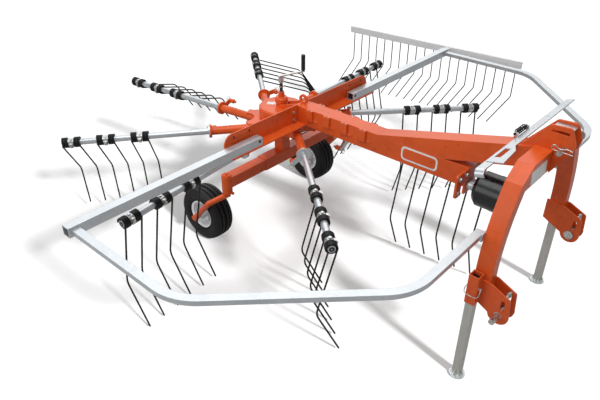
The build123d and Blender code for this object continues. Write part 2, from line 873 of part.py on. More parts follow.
def castor():
    """Left castor: pin in the bush, its collar and cap, and the bent bar down to the wheel."""
    cap_bottom = castor_bush_top + seat_gap
    cap_top = cap_bottom + castor_cap_height
    collar_top = castor_bush_bottom - seat_gap
    collar_bottom = collar_top - castor_collar_height
    y = axle_bush_y
    pin = disc(0, y, collar_bottom, cap_bottom, castor_pin_dia / 2)
    collar = disc(0, y, collar_bottom, collar_top, castor_bush_dia / 2)
    lobe = castor_bush_dia / 2 + castor_collar_height
    stop = block(0, lobe, y - castor_collar_height, y, collar_bottom, collar_top)
    cap = disc(0, y, cap_bottom, cap_top, castor_bush_dia / 2 - 6)
    bolt = extrude(Pos(0, y, cap_top) * RegularPolygon(castor_bolt_dia / 2, 6), castor_bolt_height)
    hub_z = tyre_dia / 2
    heel = (-castor_trail, castor_bar_y, hub_z)
    points = [
        (0, y, collar_bottom),
        (0, y, castor_bend_z),
        (-castor_elbow_back, castor_bar_y, castor_elbow_z),
        heel,
    ]
    bar = bar_run(points, Circle(castor_bar_dia / 2))
    boss = rod(
        (heel[0], castor_bar_y + castor_bar_dia / 2, hub_z),
        (heel[0], castor_bar_y - castor_bar_dia / 2, hub_z), castor_bar_dia / 2 + 2,
    )
    stub = rod(heel, (heel[0], wheel_y - hub_half, hub_z), axle_stub_dia / 2)
    return pin + collar + stop + cap + bolt + bar + boss + stub


def wheel_profile(points):
    """A ring turned about the wheel's own axis along Y."""
    face = make_face(Polyline(*[(y, 0, r) for y, r in points], close=True))
    ring = revolve(face, Axis.X)
    return Pos(-castor_trail, wheel_y, tyre_dia / 2) * Rot(0, 0, 90) * ring


def rim():
    """Left rim: ring with its flanges, dish, and hub bored for the axle stub."""
    rim_r = rim_dia / 2
    half = tyre_width / 2 - 23
    bore = axle_stub_dia / 2 + turn_gap
    points = [
        (-hub_half, bore),
        (-hub_half, hub_dia / 2),
        (-8, hub_dia / 2),
        (-8, rim_r - 7),
        (-half, rim_r - 5),
        (-half - 4, rim_r + 9),
        (-half + 8, rim_r),
        (half - 8, rim_r),
        (half + 4, rim_r + 9),
        (half, rim_r - 5),
        (0, rim_r - 7),
        (0, hub_dia / 2),
        (hub_half, hub_dia / 2),
        (hub_half, bore),
    ]
    return wheel_profile(points)


def tyre():
    """Left tyre: bead, bulged side walls and a flat tread."""
    r = tyre_dia / 2
    rim_r = rim_dia / 2
    w = tyre_width / 2
    bead = w - 31
    bulge = rim_r + 52
    half = [(bead, rim_r), (w, bulge), (w - 10, r - 18), (w - 34, r)]
    return wheel_profile(half + [(-y, z) for y, z in reversed(half)])


def rack():
    """Flat rack across the strut: holes for the arms' pins, a forked hook and a curled end."""
    far = rack_width + rack_hook_reach
    outline = [
        (0, rack_left),
        (rack_width, rack_left),
        (rack_width, rack_hook_start),
        (far - 14, rack_hook_full),
        (far, rack_hook_end),
        (rack_width, rack_hook_end),
        (rack_width, rack_right),
        (0, rack_right),
    ]
    plate = extrude(make_face(Polyline(*outline, close=True)), rack_thick, dir=(0, 0, 1))
    plate -= block(rack_window_rear, rack_width, rack_window_end, rack_window_start, -1, rack_thick + 1)
    slit_end = rack_hook_end + rack_slit_inset
    plate -= block(rack_slit_rear, rack_width + 1, slit_end - rack_slit_width, slit_end, -1, rack_thick + 1)
    for y in rack_holes:
        plate -= disc(rack_width / 2, y, -1, rack_thick + 1, rack_hole_dia / 2)
    face = Plane.YZ * (Circle(rack_curl) - Circle(rack_curl - rack_thick))
    curl = extrude(face, rack_width) & block(0, rack_width, -2 * rack_curl, 0, -rack_curl / 2, rack_curl)
    plate += Pos(0, rack_right, rack_thick - rack_curl) * curl
    return Pos(rack_x, 0, strut_top(rack_x)) * Rot(0, -strut_angle, 0) * plate


def curtain_carrier():
    """Inner tube that slides in the left bar, and the curtain's profile."""
    z = bar_height
    half = curtain_tube_side / 2
    tube_start = bar_outer - curtain_travel - curtain_tube_grip
    tube_end = curtain_y + (bar_x - curtain_x) * tan(radians(curtain_toe_angle))
    tube = block(bar_x - half, bar_x + half, tube_start, tube_end, z - half, z + half)
    size = (curtain_count * curtain_pitch, curtain_profile_thick, curtain_profile_height)
    return tube + Pos(curtain_x, curtain_y, z) * Rot(0, 0, curtain_toe_angle) * Box(*size)


def curtain_tines():
    """The curtain's spring wires."""
    z = bar_height - curtain_profile_height / 2
    length = curtain_count * curtain_pitch
    place = Pos(curtain_x, curtain_y, z) * Rot(0, 0, curtain_toe_angle)
    wires = []
    for index in range(curtain_count):
        x = -length / 2 + (index + 0.5) * curtain_pitch
        points = [(x, 0, 0), (x, 0, -curtain_knee_drop), (x - curtain_tip_back, 0, -curtain_tip_drop)]
        wires.append(place * bar_run(points, RegularPolygon(curtain_wire / 2, 6)))
    return Compound(wires)


# Rotor
save(rotor_hub(), "rotor_hub")
arm_shape = tine_arm()
tine_shape = tine_pairs()
for index in range(arm_count):
    place = arm_place(index) * Rot(arm_roll_angles[index], 0, 0)
    save(place * arm_shape, f"tine_arm_{index + 1}")
    save(place * tine_shape, f"tines_{index + 1}")

# Middle
save(gearbox(), "gearbox")
save(column(), "column")
save(crank(), "height_crank")
save(crank_grip(), "crank_grip")
save(axle_beam(), "axle_beam")

# Boom
save(boom(), "boom")
save(strut(), "boom_strut")
save(boom_flange(), "boom_flange")
save(bearing_sleeve(), "bearing_sleeve")
save(lifting_eye(), "lifting_eye")
save(drive_shaft(), "drive_shaft")
save(guard_cup(), "shaft_guard")
save(rack(), "arm_rack")

# Headstock
save(arch(), "headstock_arch")
save(mast_plates(), "mast_plates")
save(top_pin(), "top_link_pin")

# Pieces in pairs, made for the left and mirrored to the right
pairs = {
    "cross_beam": cross_beam(),
    "side_bar": side_bar(),
    "guard_rail": guard_rail(),
    "hitch_bracket": hitch_bracket(),
    "hitch_pin": hitch_pin(),
    "stand": stand(),
    "castor": castor(),
    "rim": rim(),
    "tyre": tyre(),
}
for name, shape in pairs.items():
    left, right = both_sides(shape)
    save(left, f"{name}_left")
    save(right, f"{name}_right")

# Swath curtain
save(curtain_carrier(), "curtain_carrier")
save(curtain_tines(), "curtain_tines")

# The origin lies on the floor under the middle of the machine's outline
outline = Compound(list(pieces.values())).bounding_box()
middle = outline.center()
to_origin = Pos(-middle.X, -middle.Y, -outline.min.Z)
for name, shape in pieces.items():
    export_step(to_origin * shape, f"parts/{name}.step")
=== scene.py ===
import json
from math import cos, pi, radians, sin

import bpy
import bmesh
from mathutils import Matrix, Vector


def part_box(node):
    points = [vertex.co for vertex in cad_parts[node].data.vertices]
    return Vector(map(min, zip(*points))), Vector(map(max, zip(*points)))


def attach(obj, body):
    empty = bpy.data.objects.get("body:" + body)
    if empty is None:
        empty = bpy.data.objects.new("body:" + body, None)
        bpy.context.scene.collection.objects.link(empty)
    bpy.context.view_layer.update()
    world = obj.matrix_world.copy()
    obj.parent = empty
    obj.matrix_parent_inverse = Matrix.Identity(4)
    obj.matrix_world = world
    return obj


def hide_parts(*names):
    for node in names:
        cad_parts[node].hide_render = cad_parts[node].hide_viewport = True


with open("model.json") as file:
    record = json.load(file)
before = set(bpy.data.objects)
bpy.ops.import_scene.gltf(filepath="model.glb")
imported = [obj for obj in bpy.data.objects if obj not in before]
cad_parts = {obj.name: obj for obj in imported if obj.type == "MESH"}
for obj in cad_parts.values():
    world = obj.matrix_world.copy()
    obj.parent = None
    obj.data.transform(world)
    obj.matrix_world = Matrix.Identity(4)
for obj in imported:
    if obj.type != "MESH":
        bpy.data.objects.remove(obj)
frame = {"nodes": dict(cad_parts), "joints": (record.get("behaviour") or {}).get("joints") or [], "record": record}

bl_info = {
    "name": "Single Rotor Hay Rake",
    "version": (1, 0, 0),
    "blender": (4, 5, 0),
    "location": "View3D > Sidebar > Hay Rake",
    "description": "Finishes and small parts for a tractor mounted hay rake",
    "category": "Object",
}

# Places are given in millimetres from the rotor's axis, on the floor
COLUMN_LOW, COLUMN_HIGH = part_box("column")
AXIS_X = (COLUMN_LOW.x + COLUMN_HIGH.x) / 2
AXIS_Y = (COLUMN_LOW.y + COLUMN_HIGH.y) / 2
SIDES = {"left": 1, "right": -1}
BOOM_TOP = 877.0
BAR_INSIDE = 41.6
LEVER_ARM = 86
LEVER_ANGLE = -138
# Sizes of an arm and of the bent wires, in metres
BEARING_END = 0.4585
ARM_TIP = 1.349
TINE_KNEE = (-0.066, -0.405)
TINE_TIP = (0.058, -0.660)
TINE_BEND = 0.09
CURTAIN_BEND = 0.05
ARM_JOINTS = [joint for joint in frame["joints"] if joint["name"].startswith("arm_roll_")]


def at(x, y, z):
    """A point in the frame, from millimetres about the rotor's axis."""
    return Vector((AXIS_X + x / 1000, AXIS_Y + y / 1000, z / 1000))


def arm_matrix(joint):
    """Where one arm lies at rest: X along the arm, Z up before its roll."""
    along = Vector(joint["axis"]).normalized()
    left = Vector((0, 0, 1)).cross(along).normalized()
    up = along.cross(left)
    turn = Matrix((along, left, up)).transposed().to_4x4()
    roll = -radians(60 + joint["range_deg"][0])
    return Matrix.Translation(joint["pos_m"]) @ turn @ Matrix.Rotation(roll, 4, "X")


# ---- Node helpers


class Flow:
    """One output of a node; plain maths on it adds Math nodes."""

    def __init__(self, bench, socket):
        self.bench = bench
        self.socket = socket

    def maths(self, operation, first, second=0.0):
        """A Math node on two values."""
        return self.bench.add("ShaderNodeMath", {"operation": operation}, {0: first, 1: second})

    def __add__(self, other):
        return self.maths("ADD", self, other)

    __radd__ = __add__

    def __sub__(self, other):
        return self.maths("SUBTRACT", self, other)

    def __rsub__(self, other):
        return self.maths("SUBTRACT", other, self)

    def __mul__(self, other):
        return self.maths("MULTIPLY", self, other)

    __rmul__ = __mul__

    def __truediv__(self, other):
        return self.maths("DIVIDE", self, other)

    def __rtruediv__(self, other):
        return self.maths("DIVIDE", other, self)

    def __pow__(self, other):
        return self.maths("POWER", self, other)

    def __lt__(self, other):
        return self.maths("LESS_THAN", self, other)

    def __gt__(self, other):
        return self.maths("GREATER_THAN", self, other)

    def other(self, name):
        """Another output of the same node."""
        return Flow(self.bench, self.socket.node.outputs[name])


class Bench:
    """Adds nodes to one tree."""

    def __init__(self, tree):
        self.tree = tree

    def add(self, kind, settings=None, sockets=None, output=0):
        """A node of one kind: its settings first, then its sockets' values or links."""
        node = self.tree.nodes.new(kind)
        for name, value in (settings or {}).items():
            if name == "stops":
                ramp = node.color_ramp
                while len(ramp.elements) < len(value):
                    ramp.elements.new(0.5)
                for element, (place, colour) in zip(ramp.elements, value):
                    element.position = place
                    element.color = colour
            else:
                setattr(node, name, value)
        for name, value in (sockets or {}).items():
            for item in value if isinstance(value, list) else [value]:
                if isinstance(item, Flow):
                    self.tree.links.new(item.socket, node.inputs[name])
                else:
                    node.inputs[name].default_value = item
        return Flow(self, node.outputs[output]) if node.outputs else node


class Surface(Bench):
    """Nodes of one material."""

    def __init__(self, name):
        self.material = bpy.data.materials.new(name)
        self.material.use_nodes = True
        super().__init__(self.material.node_tree)
        self.tree.nodes.clear()
        self.place = self.add("ShaderNodeTexCoord").other("Object")

    def noise(self, scale, detail=3.0, roughness=0.5, vector=None):
        """Soft random values from 0 to 1."""
        return self.add(
            "ShaderNodeTexNoise", {},
            {"Vector": vector or self.place, "Scale": scale, "Detail": detail, "Roughness": roughness},
        )

    def stretched(self, scale):
        """The place, stretched along an axis."""
        return self.add("ShaderNodeMapping", {}, {"Vector": self.place, "Scale": scale})

    def between(self, value, low, high, out_low=0.0, out_high=1.0):
        """A value brought smoothly from one range to another."""
        return self.add(
            "ShaderNodeMapRange", {"interpolation_type": "SMOOTHSTEP"},
            {"Value": value, "From Min": low, "From Max": high, "To Min": out_low, "To Max": out_high},
        )

    def blend(self, share, first, second):
        """Two colours mixed by a share."""
        return self.add(
            "ShaderNodeMix", {"data_type": "RGBA"}, {0: share, 6: first, 7: second}, output=2
        )

    def bump(self, height, strength, distance=0.001, normal=None):
        """A normal from a height."""
        sockets = {"Height": height, "Strength": strength, "Distance": distance}
        if normal:
            sockets["Normal"] = normal
        return self.add("ShaderNodeBump", {}, sockets)

    def rounded(self, radius):
        """A normal that rounds sharp edges a little."""
        return self.add("ShaderNodeBevel", {"samples": 8}, {"Radius": radius})

    def shader(self, **sockets):
        """A Principled shader; names of sockets are written with underscores."""
        return self.add(
            "ShaderNodeBsdfPrincipled", {}, {key.replace("_", " "): value for key, value in sockets.items()}
        )

    def done(self, shader):
        """Joins the shader to the material's output."""
        self.add("ShaderNodeOutputMaterial", {}, {"Surface": shader})
        return self.material


# ---- Finishes


def colour(red, green, blue):
    """A linear colour from 0 to 255 screen values."""
    return (*[((v / 255 + 0.055) / 1.055) ** 2.4 if v > 10 else v / 3295 for v in (red, green, blue)], 1.0)


ORANGE = colour(218, 87, 30)


def worn(surface, normal, low=0.9):
    """A mask that is 1 on sharp edges."""
    flat = surface.add("ShaderNodeNewGeometry").other("Normal")
    along = surface.add("ShaderNodeVectorMath", {"operation": "DOT_PRODUCT"}, {0: normal, 1: flat}, output=1)
    return surface.between(along, low, 0.995, 1.0, 0.0)


def paint(surface, tint, dusty=0.0):
    """Sprayed enamel: faint shade changes, orange peel, rubbed edges, a little road dust."""
    broad = surface.noise(2.6, 4.0)
    cloud = surface.noise(23.0, 5.0, 0.6)
    speck = surface.noise(310.0, 2.0)
    light = tuple(min(1.0, c * 1.1 + 0.004) for c in tint[:3]) + (1.0,)
    dark = tuple(c * 0.88 for c in tint[:3]) + (1.0,)
    base = surface.blend(surface.between(broad * 0.7 + cloud * 0.3, 0.35, 0.65), dark, light)
    settled = surface.between(cloud, 0.5, 0.8) * dusty
    base = surface.blend(settled, base, colour(180, 140, 110))
    soft = surface.rounded(0.003)
    rubbed = worn(surface, soft) * surface.between(cloud, 0.4, 0.6, 0.15, 0.5)
    base = surface.blend(rubbed, base, tuple(min(1.0, c * 1.25 + 0.05) for c in tint[:3]) + (1.0,))
    rough = surface.between(cloud, 0.3, 0.7, 0.27, 0.36) + settled * 0.3
    peel = surface.bump(speck, 0.03, 0.0004, soft)
    return surface.shader(Base_Color=base, Roughness=rough, Normal=peel, IOR=1.4)


def zinc(surface, grain=(1.0, 1.0, 1.0)):
    """Hot dip zinc: faint spangle, soft streaks and dull patches."""
    flake = surface.add(
        "ShaderNodeTexVoronoi", {"feature": "F1"}, {"Vector": surface.stretched(grain), "Scale": 110.0}
    )
    shade = surface.add("ShaderNodeSeparateColor", {}, {"Color": flake.other("Color")})
    cloud = surface.noise(9.0, 5.0, 0.6)
    fine = surface.noise(190.0, 3.0)
    tone = shade * 0.22 + cloud * 0.78
    base = surface.blend(surface.between(tone, 0.2, 0.8), colour(190, 195, 199), colour(208, 212, 215))
    soft = surface.rounded(0.0025)
    base = surface.blend(worn(surface, soft) * 0.5, base, colour(226, 230, 234))
    rough = surface.between(tone, 0.2, 0.8, 0.3, 0.4)
    relief = surface.bump(fine * 0.9 + shade * 0.1, 0.03, 0.0004, soft)
    return surface.shader(Base_Color=base, Metallic=0.7, Roughness=rough, Normal=relief)


def orange_paint():
    surface = Surface("orange enamel")
    return surface.done(paint(surface, ORANGE, 0.1))


def galvanised():
    surface = Surface("galvanised steel")
    return surface.done(zinc(surface))


def arm_finish(index, joint):
    """Orange near the hub and galvanised beyond the bearing tube."""
    surface = Surface(f"arm {index} enamel and zinc")
    start = Vector(joint["pos_m"])
    along = Vector(joint["axis"]).normalized()
    reach = surface.add(
        "ShaderNodeVectorMath", {"operation": "DOT_PRODUCT"}, {0: surface.place, 1: along}, output=1
    )
    split = start.dot(along) + BEARING_END
    mask = reach > split
    shader = surface.add(
        "ShaderNodeMixShader", {}, {0: mask, 1: paint(surface, ORANGE, 0.1), 2: zinc(surface)}
    )
    return surface.done(shader)


def spring_black():
    surface = Surface("black spring wire")
    cloud = surface.noise(60.0, 4.0)
    base = surface.blend(surface.between(cloud, 0.4, 0.7), colour(6, 6, 7), colour(15, 15, 15))
    rough = surface.between(cloud, 0.3, 0.7, 0.36, 0.5)
    normal = surface.bump(surface.noise(420.0), 0.1, 0.0004)
    return surface.done(surface.shader(Base_Color=base, Roughness=rough, Normal=normal, IOR=1.4))


def tyre_rubber():
    surface = Surface("tyre rubber")
    cloud = surface.noise(16.0, 5.0, 0.6)
    base = surface.blend(surface.between(cloud, 0.35, 0.75), colour(6, 6, 7), colour(16, 16, 16))
    rough = surface.between(cloud, 0.3, 0.7, 0.5, 0.7)
    normal = surface.bump(surface.noise(260.0, 4.0), 0.25, 0.0006)
    return surface.done(surface.shader(Base_Color=base, Roughness=rough, Normal=normal, IOR=1.45))


def rim_silver():
    surface = Surface("silver rim enamel")
    return surface.done(paint(surface, colour(236, 238, 240), 0.0))


def stand_grey():
    """Grey tube with a bright zinc foot."""
    surface = Surface("stand tube zinc")
    streak = surface.noise(9.0, 4.0, 0.6, surface.stretched((3.0, 3.0, 1.0)))
    base = surface.blend(surface.between(streak, 0.2, 0.8), colour(184, 182, 175), colour(204, 202, 196))
    height = surface.add("ShaderNodeSeparateXYZ", {}, {"Vector": surface.place}, output=2)
    base = surface.blend(height < 0.014, base, colour(232, 238, 238))
    rough = surface.between(streak, 0.3, 0.7, 0.34, 0.5)
    normal = surface.bump(surface.noise(240.0), 0.08, 0.0004, surface.rounded(0.0015))
    return surface.done(surface.shader(Base_Color=base, Metallic=0.6, Roughness=rough, Normal=normal))


def black_plastic():
    # moulded black plastic; the same black also serves as painted shade in holes and open tube ends
    surface = Surface("black moulded plastic")
    cloud = surface.noise(40.0, 4.0)
    base = surface.blend(surface.between(cloud, 0.4, 0.7), colour(9, 11, 15), colour(18, 21, 27))
    rough = surface.between(cloud, 0.3, 0.7, 0.22, 0.3)
    normal = surface.bump(surface.noise(600.0, 2.0), 0.06, 0.0003)
    return surface.done(surface.shader(Base_Color=base, Roughness=rough, Normal=normal, IOR=1.5))


def pale_alloy():
    """Drawn light alloy of the curtain's rail."""
    surface = Surface("drawn alloy")
    drawn = surface.noise(20.0, 4.0, 0.6, surface.stretched((1.0, 14.0, 14.0)))
    base = surface.blend(surface.between(drawn, 0.3, 0.7), colour(224, 224, 226), colour(240, 239, 240))
    rough = surface.between(drawn, 0.3, 0.7, 0.34, 0.48)
    normal = surface.bump(drawn, 0.06, 0.0004, surface.rounded(0.002))
    return surface.done(surface.shader(Base_Color=base, Metallic=0.15, Roughness=rough, Normal=normal))


def bright_zinc():
    surface = Surface("plated steel")
    cloud = surface.noise(80.0, 4.0)
    base = surface.blend(surface.between(cloud, 0.3, 0.7), colour(176, 176, 172), colour(214, 214, 212))
    rough = surface.between(cloud, 0.3, 0.7, 0.22, 0.36)
    normal = surface.bump(surface.noise(380.0), 0.08, 0.0003)
    return surface.done(surface.shader(Base_Color=base, Metallic=0.9, Roughness=rough, Normal=normal))


def bare_label():
    surface = Surface("bare plate")
    cloud = surface.noise(20.0, 4.0)
    base = surface.blend(surface.between(cloud, 0.3, 0.7), colour(222, 222, 220), colour(240, 240, 238))
    rough = surface.between(cloud, 0.3, 0.7, 0.3, 0.42)
    return surface.done(surface.shader(Base_Color=base, Roughness=rough, Normal=surface.rounded(0.0006)))


MAKERS = {
    "orange_paint": orange_paint,
    "galvanised_steel": galvanised,
    "black_spring_wire": spring_black,
    "tyre_rubber": tyre_rubber,
    "silver_rim": rim_silver,
    "grey_stand_tube": stand_grey,
    "black_plastic": black_plastic,
    "plated_steel": bright_zinc,
    "bare_label": bare_label,
}
FINISHES = {}


def finish_of(name):
    """The material of a slot, made when it is first asked for."""
    if name not in FINISHES:
        FINISHES[name] = MAKERS[name]()
    return FINISHES[name]


# ---- Mesh helpers


def new_piece(name, mesh, body, slot, material=None, replaced=()):
    """An object at the origin that rides on a body and takes a slot's finish."""
    piece = bpy.data.objects.new(name, mesh)
    bpy.context.scene.collection.objects.link(piece)
    mesh.materials.clear()
    mesh.materials.append(material or finish_of(slot))
    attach(piece, body)
    if replaced:
        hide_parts(*replaced)
    return piece


def mesh_of(name, build, smooth=40):
    """A mesh from a function that fills a bmesh; edges under an angle are smooth."""
    shape = bmesh.new()
    build(shape)
    bmesh.ops.recalc_face_normals(shape, faces=shape.faces)
    mesh = bpy.data.meshes.new(name)
    shape.to_mesh(mesh)
    shape.free()
    mesh.shade_smooth()
    mesh.set_sharp_from_angle(angle=radians(smooth))
    return mesh


def turned(shape, profile, place, steps=48):
    """A closed ring from a profile of (along, radius), turned about Z of a place."""
    rings = []
    for step in range(steps):
        turn = 2 * pi * step / steps
        rings.append([
            shape.verts.new(place @ Vector((r / 1000 * cos(turn), r / 1000 * sin(turn), z / 1000)))
            for z, r in profile
        ])
    for step in range(steps):
        here, there = rings[step], rings[(step + 1) % steps]
        for k in range(len(profile)):
            after = (k + 1) % len(profile)
            shape.faces.new((here[k], here[after], there[after], there[k]))


def slab(shape, place, size, soft=0.0):
    """A block with softened edges, its size in millimetres.

    It is made apart and copied in, because softening it in place would change
    the order of the faces that come after it from run to run.
    """
    scale = Matrix.Diagonal((*[length / 1000 for length in size], 1))
    block = bmesh.new()
    bmesh.ops.create_cube(block, size=1.0, matrix=place @ scale)
    if soft:
        bmesh.ops.bevel(
            block, geom=block.edges[:], offset=soft / 1000, segments=2, affect="EDGES", profile=0.5)
    corners = {vert: shape.verts.new(vert.co) for vert in block.verts}
    for face in block.faces:
        shape.faces.new([corners[vert] for vert in face.verts])
    block.free()


def wire_object(name, lines, radius, body, slot):
    """Round wire along points, with smooth bends."""
    curve = bpy.data.curves.new(name, "CURVE")
    curve.dimensions = "3D"
    curve.bevel_depth = radius / 1000
    curve.bevel_resolution = 3
    curve.resolution_u = 6
    curve.use_fill_caps = True
    for points in lines:
        spline = curve.splines.new("NURBS")
        spline.points.add(len(points) - 1)
        for point, place in zip(spline.points, points):
            point.co = (*place, 1.0)
        spline.order_u = 3
        spline.use_endpoint_u = True
    holder = bpy.data.objects.new(name + "_line", curve)
    bpy.context.scene.collection.objects.link(holder)
    bpy.context.view_layer.update()
    mesh = bpy.data.meshes.new_from_object(holder.evaluated_get(bpy.context.evaluated_depsgraph_get()))
    bpy.data.objects.remove(holder)
    mesh.shade_smooth()
    return new_piece(name, mesh, body, slot)


# ---- Geometry node trees


class Grower(Bench):
    """A geometry tree with named inputs, whose result is baked into a mesh."""

    def __init__(self, name):
        super().__init__(bpy.data.node_groups.new(name, "GeometryNodeTree"))
        self.values = {}
        self.tree.interface.new_socket("Geometry", in_out="INPUT", socket_type="NodeSocketGeometry")
        self.tree.interface.new_socket("Geometry", in_out="OUTPUT", socket_type="NodeSocketGeometry")
        self.start = self.tree.nodes.new("NodeGroupInput")

    def given(self, name, value):
        """A named input of the tree with its value."""
        kind = "NodeSocketInt" if isinstance(value, int) else "NodeSocketFloat"
        item = self.tree.interface.new_socket(name, in_out="INPUT", socket_type=kind)
        self.values[item.identifier] = value
        return Flow(self, self.start.outputs[name])

    def geometry(self):
        """The geometry that comes in."""
        return Flow(self, self.start.outputs["Geometry"])

    def point(self, x=0.0, y=0.0, z=0.0):
        """A vector from three values."""
        return self.add("ShaderNodeCombineXYZ", {}, {"X": x, "Y": y, "Z": z})

    def moved(self, geometry, shift=None, turn=None, scale=None):
        """A geometry moved, turned and scaled."""
        sockets = {"Geometry": geometry}
        for name, value in (("Translation", shift), ("Rotation", turn), ("Scale", scale)):
            if value is not None:
                sockets[name] = value
        return self.add("GeometryNodeTransform", {}, sockets)

    def joined(self, *parts):
        """Several geometries as one."""
        return self.add("GeometryNodeJoinGeometry", {}, {"Geometry": list(parts)})

    def swept(self, line, radius, sides=8):
        """A round bar along a curve."""
        ring = self.add("GeometryNodeCurvePrimitiveCircle", {}, {"Resolution": sides, "Radius": radius})
        return self.add(
            "GeometryNodeCurveToMesh", {}, {"Curve": line, "Profile Curve": ring, "Fill Caps": True}
        )

    def bent_leg(self, top, knee, tip, bend, radius):
        """A round wire from its top over a knee to its tip."""
        line = self.add("GeometryNodeCurvePrimitiveLine", {}, {"Start": top, "End": tip})
        line = self.add("GeometryNodeResampleCurve", {}, {"Curve": line, "Count": 3})
        index = self.add("GeometryNodeInputIndex")
        middle = self.add("FunctionNodeCompare", {"data_type": "INT", "operation": "EQUAL"}, {2: index, 3: 1})
        line = self.add(
            "GeometryNodeSetPosition", {}, {"Geometry": line, "Selection": middle, "Position": knee}
        )
        line = self.add(
            "GeometryNodeFilletCurve", {"mode": "POLY"}, {"Curve": line, "Count": 5, "Radius": bend}
        )
        return self.swept(line, radius)

    def placed(self, thing, points, turn=None, scale=None):
        """A thing at every point."""
        sockets = {"Points": points, "Instance": thing}
        if turn is not None:
            sockets["Rotation"] = turn
        if scale is not None:
            sockets["Scale"] = scale
        return self.add("GeometryNodeInstanceOnPoints", {}, sockets)

    def baked(self, geometry, material, seed=None, matrix=None, smooth=35):
        """Ends the tree, runs it on a seed mesh and returns a plain mesh."""
        whole = self.add("GeometryNodeRealizeInstances", {}, {"Geometry": geometry})
        dressed = self.add("GeometryNodeSetMaterial", {}, {"Geometry": whole, "Material": material})
        self.add("NodeGroupOutput", {}, {0: dressed})
        holder = bpy.data.objects.new(self.tree.name, seed or bpy.data.meshes.new(self.tree.name))
        bpy.context.scene.collection.objects.link(holder)
        modifier = holder.modifiers.new("grown", "NODES")
        modifier.node_group = self.tree
        for identifier, value in self.values.items():
            modifier[identifier] = value
        bpy.context.view_layer.update()
        grown = holder.evaluated_get(bpy.context.evaluated_depsgraph_get())
        mesh = bpy.data.meshes.new_from_object(grown)
        holder.modifiers.remove(modifier)
        bpy.data.objects.remove(holder)
        if not len(mesh.polygons):
            raise RuntimeError(f"{self.tree.name} made nothing")
        if matrix is not None:
            mesh.transform(matrix)
        mesh.shade_smooth()
        mesh.set_sharp_from_angle(angle=radians(smooth))
        return mesh


def seed_points(name, places):
    """A mesh of loose points, each with the way it faces and a size."""
    mesh = bpy.data.meshes.new(name)
    mesh.from_pydata([tuple(place) for place, aim, size in places], [], [])
    aims = mesh.attributes.new("aim", "FLOAT_VECTOR", "POINT")
    aims.data.foreach_set("vector", [value for place, aim, size in places for value in aim])
    sizes = mesh.attributes.new("size", "FLOAT", "POINT")
    sizes.data.foreach_set("value", [size for place, aim, size in places])
    return mesh


# ---- Sizes a user may change


class RakeLook(bpy.types.PropertyGroup):
    """Sizes of the pieces that are added."""

    wire: bpy.props.FloatProperty(
        name="Tine Wire", description="Thickness of a spring tine", default=0.01, unit="LENGTH"
    )
    coil: bpy.props.FloatProperty(
        name="Coil Width", description="Width of a tine's coil", default=0.066, unit="LENGTH"
    )
    coil_length: bpy.props.FloatProperty(
        name="Coil Length", description="Length of a coil along the arm", default=0.044, unit="LENGTH"
    )
    coil_spacing: bpy.props.FloatProperty(
        name="Coil Spacing", description="Distance between the two coils of a tine",
        default=0.068, unit="LENGTH",
    )
    turns: bpy.props.FloatProperty(name="Coil Turns", description="Turns in each coil", default=3.75)
    row_first: bpy.props.FloatProperty(
        name="First Tine", description="Middle of the innermost tine, along the arm",
        default=0.888, unit="LENGTH",
    )
    row_pitch: bpy.props.FloatProperty(
        name="Tine Pitch", description="Distance between two tines of an arm", default=0.2045, unit="LENGTH"
    )
    rows: bpy.props.IntProperty(name="Tines Per Arm", description="Double tines on an arm", default=3)
    ribs: bpy.props.IntProperty(name="Tread Blocks", description="Blocks around a tyre", default=44)
    bolt: bpy.props.FloatProperty(
        name="Bolt", description="Shank of a usual bolt", default=0.012, unit="LENGTH"
    )
    light: bpy.props.FloatProperty(name="Light", description="Strength of the lamps", default=1.0)


def look():
    """The sizes in use."""
    return bpy.context.scene.rake_look


# ---- Operators


